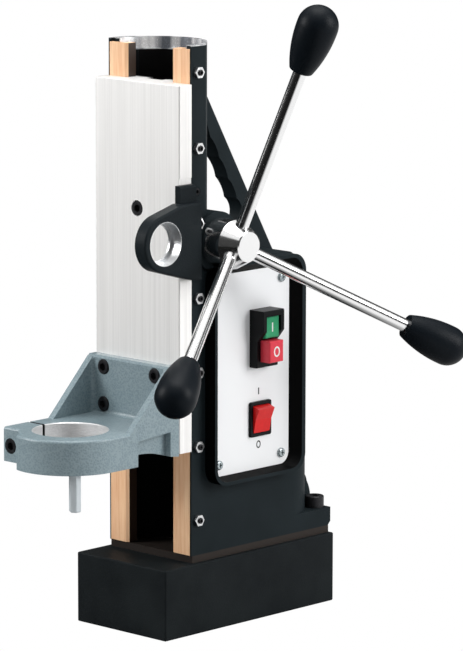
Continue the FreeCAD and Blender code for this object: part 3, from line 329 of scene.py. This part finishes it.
ground = material("ground_steel", metallic=1.0)
fine = noise(0.0005, (1, 1, 0.1))
feed(ground, "Base Color", fine.between((0.42, 0.43, 0.44), (0.6, 0.6, 0.61)))
feed(ground, "Roughness", 0.25 + 0.2 * fine)
dress(ground, "keeper_", "rack", "pinion_shaft")


# Feed handle: a turned and chromed hub with three chromed spokes, and a
# moulded black knob screwed to the end of each spoke.

chrome = material("chrome", metallic=1.0)
cloud = noise(0.02)
feed(chrome, "Base Color", cloud.between((0.86, 0.86, 0.86), (0.93, 0.93, 0.93)))
feed(chrome, "Roughness", 0.15 + 0.04 * cloud)
dress(chrome, "handle_hub", "spoke_")

knob_plastic = material("knob_plastic", specular=0.1)
grain = noise(0.0007)
feed(knob_plastic, "Base Color", grain.between((0.002, 0.0038, 0.006), (0.0045, 0.0075, 0.011)))
feed(knob_plastic, "Roughness", 0.36 + 0.15 * grain)
bump(knob_plastic, grain, 0.00005)
dress(knob_plastic, "knob_")


# Panel: a punched sheet with a satin silver print, screwed into the raised
# rim of the frame at its four corners.

shade_fade_bottom, shade_fade_top = 0.1, 0.245

silver = material("panel_silver", metallic=0.1)
fleck = noise(0.0004)
# Painted shade: the sheet is coloured a little darker towards its top.
top_shade = spot()[2].over(shade_fade_bottom, shade_fade_top)
feed(silver, "Base Color", (0.8 * top_shade + 0.2 * fleck).between((0.86, 0.87, 0.88), (0.84, 0.85, 0.865)))
feed(silver, "Roughness", 0.4 + 0.15 * fleck)
dress(silver, "panel_plate")


# Switches: moulded black housings snapped into the panel, with a green and a
# red button and a red rocker. The socket and the gland are of the same black.

switch_black = material("switch_black", specular=0.12)
grain = noise(0.0005)
feed(switch_black, "Base Color", grain.between((0.0025, 0.003, 0.0035), (0.005, 0.006, 0.007)))
feed(switch_black, "Roughness", 0.3 + 0.2 * grain)
bump(switch_black, grain, 0.00005)
dress(switch_black, "motor_switch_body", "rocker_housing", "drill_socket", "cable_gland")


def plastic(name, dark, light):
    made = material(name, coat=0.08, coat_roughness=0.08, specular=0.18)
    mottle = noise(0.003)
    feed(made, "Base Color", mottle.between(dark, light))
    feed(made, "Roughness", 0.25 + 0.1 * mottle)
    return made


dress(plastic("green_plastic", (0.03, 0.31, 0.14), (0.05, 0.39, 0.18)), "start_button")
dress(plastic("red_plastic", (0.66, 0.038, 0.06), (0.78, 0.06, 0.09)), "stop_button")
dress(plastic("rocker_red", (0.58, 0.008, 0.008), (0.72, 0.014, 0.014)), "magnet_rocker")


# Marks: an upright bar for on and a ring for off, printed in black on the
# panel at the rocker and in white on the two buttons, on which they ride.

def upright_bar(width, length):
    """A bar across X, around the origin."""
    mesh = bmesh.new()
    shape = Matrix.Rotation(math.radians(90), 4, "Y") @ Matrix.Diagonal((length, width, 1, 1))
    bmesh.ops.create_grid(mesh, x_segments=1, y_segments=1, size=0.5, matrix=shape)
    return mesh


def upright_ring(radius, wall, across=0.8, steps=40):
    """A ring across X, around the origin, a little narrower than high."""
    mesh = bmesh.new()
    ends = [mesh.verts.new((0, 0, radius)), mesh.verts.new((0, 0, radius - wall))]
    rung = mesh.edges.new(ends)
    bmesh.ops.spin(mesh, geom=[*ends, rung], cent=(0, 0, 0), axis=(1, 0, 0),
                   angle=2 * math.pi, steps=steps, use_merge=True)
    pull = 1 - wall / radius / 4
    for corner in mesh.verts:
        inner = corner.co.length < radius - wall / 2
        corner.co.y *= across * (pull if inner else 1)
    return mesh


def print_mark(name, mesh, place_at, made, body):
    """Lay a mark on a face that looks along +X, and let it ride with a body."""
    bmesh.ops.translate(mesh, verts=mesh.verts, vec=place_at)
    for side in mesh.faces:
        side.normal_update()
        if side.normal.x < 0:
            side.normal_flip()
    data = bpy.data.meshes.new(name)
    mesh.to_mesh(data)
    mesh.free()
    data.materials.append(made)
    mark = bpy.data.objects.new(name, data)
    bpy.context.collection.objects.link(mark)
    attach(mark, body)


ink = 0.00004
panel_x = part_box("panel_plate")[1][0] + ink
start_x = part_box("start_button")[1][0] + ink
stop_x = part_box("stop_button")[1][0] + ink
rocker_y, switch_y = 0.0077, 0.0088

black_print = material("black_print")
cloud = noise(0.001)
feed(black_print, "Base Color", cloud.between((0.015, 0.015, 0.016), (0.03, 0.03, 0.03)))
feed(black_print, "Roughness", 0.4 + 0.2 * cloud)

white_print = material("white_print")
cloud = noise(0.001)
feed(white_print, "Base Color", cloud.between((0.75, 0.78, 0.76), (0.85, 0.86, 0.85)))
feed(white_print, "Roughness", 0.35 + 0.2 * cloud)

print_mark("panel_on_mark", upright_bar(width=0.0011, length=0.0046), (panel_x, rocker_y, 0.1573),
           black_print, "stand")
print_mark("panel_off_mark", upright_ring(radius=0.0027, wall=0.001), (panel_x, rocker_y, 0.1207),
           black_print, "stand")
print_mark("start_mark", upright_bar(width=0.0011, length=0.0062), (start_x, switch_y, 0.2022),
           white_print, "start_button")
print_mark("stop_mark", upright_ring(radius=0.0036, wall=0.0011), (stop_x, switch_y, 0.186),
           white_print, "stop_button")


# Studio: a floor and a world that look white to the camera, three softboxes,
# two cards that only reflections show, and the camera of the photograph.

def clear_nodes(holder):
    """Empty the tree of a material or a world, and take it for the nodes that follow."""
    holder.use_nodes = True
    Field.tree = holder.node_tree
    Field.tree.nodes.clear()


def rays_seen(*kinds):
    """1 for rays of the kinds given, 0 for the rest."""
    seen, *rest = [Field.node("ShaderNodeLightPath", kind, {}, {}) for kind in kinds]
    for ray in rest:
        seen = seen.joined("MAXIMUM", ray)
    return seen


def mixed(factor, first, second):
    return Field.node("ShaderNodeMixShader", 0, {}, {0: factor, 1: first, 2: second})


def grey(kind, level, **more):
    return Field.node(kind, 0, {}, {"Color": (level, level, level, 1), **more})


def shown_by(kind, shader):
    out = Field.tree.nodes.new(kind)
    Field.tree.links.new(shader.socket, out.inputs[0])


def plane(name, turn, place_at, width, tall, made):
    """A flat stage piece."""
    mesh = bmesh.new()
    bmesh.ops.create_grid(mesh, x_segments=1, y_segments=1, size=0.5)
    data = bpy.data.meshes.new(name)
    mesh.to_mesh(data)
    mesh.free()
    data.materials.append(made)
    piece = bpy.data.objects.new(name, data)
    piece.matrix_world = Matrix.Translation(place_at) @ turn @ Matrix.Diagonal((width, tall, 1, 1))
    bpy.context.collection.objects.link(piece)
    return piece


def card(name, place_at, target, width, tall, level):
    """A card that faces a point and shows in reflections only."""
    made = bpy.data.materials.new(name)
    clear_nodes(made)
    shown_by("ShaderNodeOutputMaterial", grey("ShaderNodeEmission", level))
    way = Vector(target) - Vector(place_at)
    turn = way.to_track_quat("Z", "Y").to_matrix().to_4x4()
    piece = plane(name, turn, place_at, width, tall, made)
    piece.visible_camera = False
    piece.visible_diffuse = False
    piece.visible_transmission = False
    piece.visible_shadow = False


def softbox(name, place_at, target, width, tall, power):
    data = bpy.data.lights.new(name, "AREA")
    data.shape = "RECTANGLE"
    data.size = width
    data.size_y = tall
    data.energy = power
    lamp = bpy.data.objects.new(name, data)
    lamp.location = place_at
    way = Vector(target) - Vector(place_at)
    lamp.rotation_euler = way.to_track_quat("-Z", "Y").to_euler()
    bpy.context.collection.objects.link(lamp)


floor_side = 8
floor_white = bpy.data.materials.new("floor_white")
clear_nodes(floor_white)
x, y, z = spot()
far_side = (floor_side * x + floor_side * y).over(0.06, 0.30)
reflected = mixed(far_side, grey("ShaderNodeEmission", 0.012), grey("ShaderNodeEmission", 1.0))
lit = mixed(rays_seen("Is Glossy Ray"), grey("ShaderNodeBsdfDiffuse", 0.5), reflected)
shown = mixed(rays_seen("Is Camera Ray", "Is Transmission Ray"), lit, grey("ShaderNodeEmission", 1.0))
shown_by("ShaderNodeOutputMaterial", shown)
plane("floor", Matrix.Identity(4), (0, 0, -0.0004), floor_side, floor_side, floor_white)

world = bpy.data.worlds.new("studio")
bpy.context.scene.world = world
clear_nodes(world)
lit = mixed(rays_seen("Is Glossy Ray"), grey("ShaderNodeBackground", 1, Strength=0.36),
            grey("ShaderNodeBackground", 1, Strength=0.05))
shown = mixed(rays_seen("Is Camera Ray", "Is Transmission Ray"), lit, grey("ShaderNodeBackground", 1))
shown_by("ShaderNodeOutputWorld", shown)

softbox("lamp_left", (-1.2, -1.4, 1.0), target=(0, 0, 0.22), width=0.9, tall=0.9, power=27)
softbox("lamp_right", (1.7, 0.9, 1.0), target=(0, 0, 0.2), width=0.9, tall=1.2, power=30)
softbox("lamp_top", (0.1, 0.1, 2.0), target=(0, 0, 0.2), width=1.3, tall=1.3, power=25)
card("card_ceiling", (0, 0, 2.4), target=(0, 0, 0), width=5, tall=5, level=0.95)
card("card_right", (1.5, 1.5, 0.5), target=(0, 0, 0.3), width=2.4, tall=1.4, level=1.0)

camera_place = (1.96553, -2.02602, 0.6923)
camera_turn, camera_dip, camera_roll = 43.7937, 9.9344, 0.1031

camera_data = bpy.data.cameras.new("camera")
camera_data.sensor_fit = "VERTICAL"
camera_data.sensor_height = 36
camera_data.lens = 234.3174
camera_data.clip_end = 20
camera = bpy.data.objects.new("camera", camera_data)
camera.matrix_world = (Matrix.Translation(camera_place)
                       @ Matrix.Rotation(math.radians(camera_turn), 4, "Z")
                       @ Matrix.Rotation(math.radians(90 - camera_dip), 4, "X")
                       @ Matrix.Rotation(math.radians(camera_roll), 4, "Z"))
bpy.context.collection.objects.link(camera)
bpy.context.scene.camera = camera
bpy.context.scene.view_settings.view_transform = "Standard"
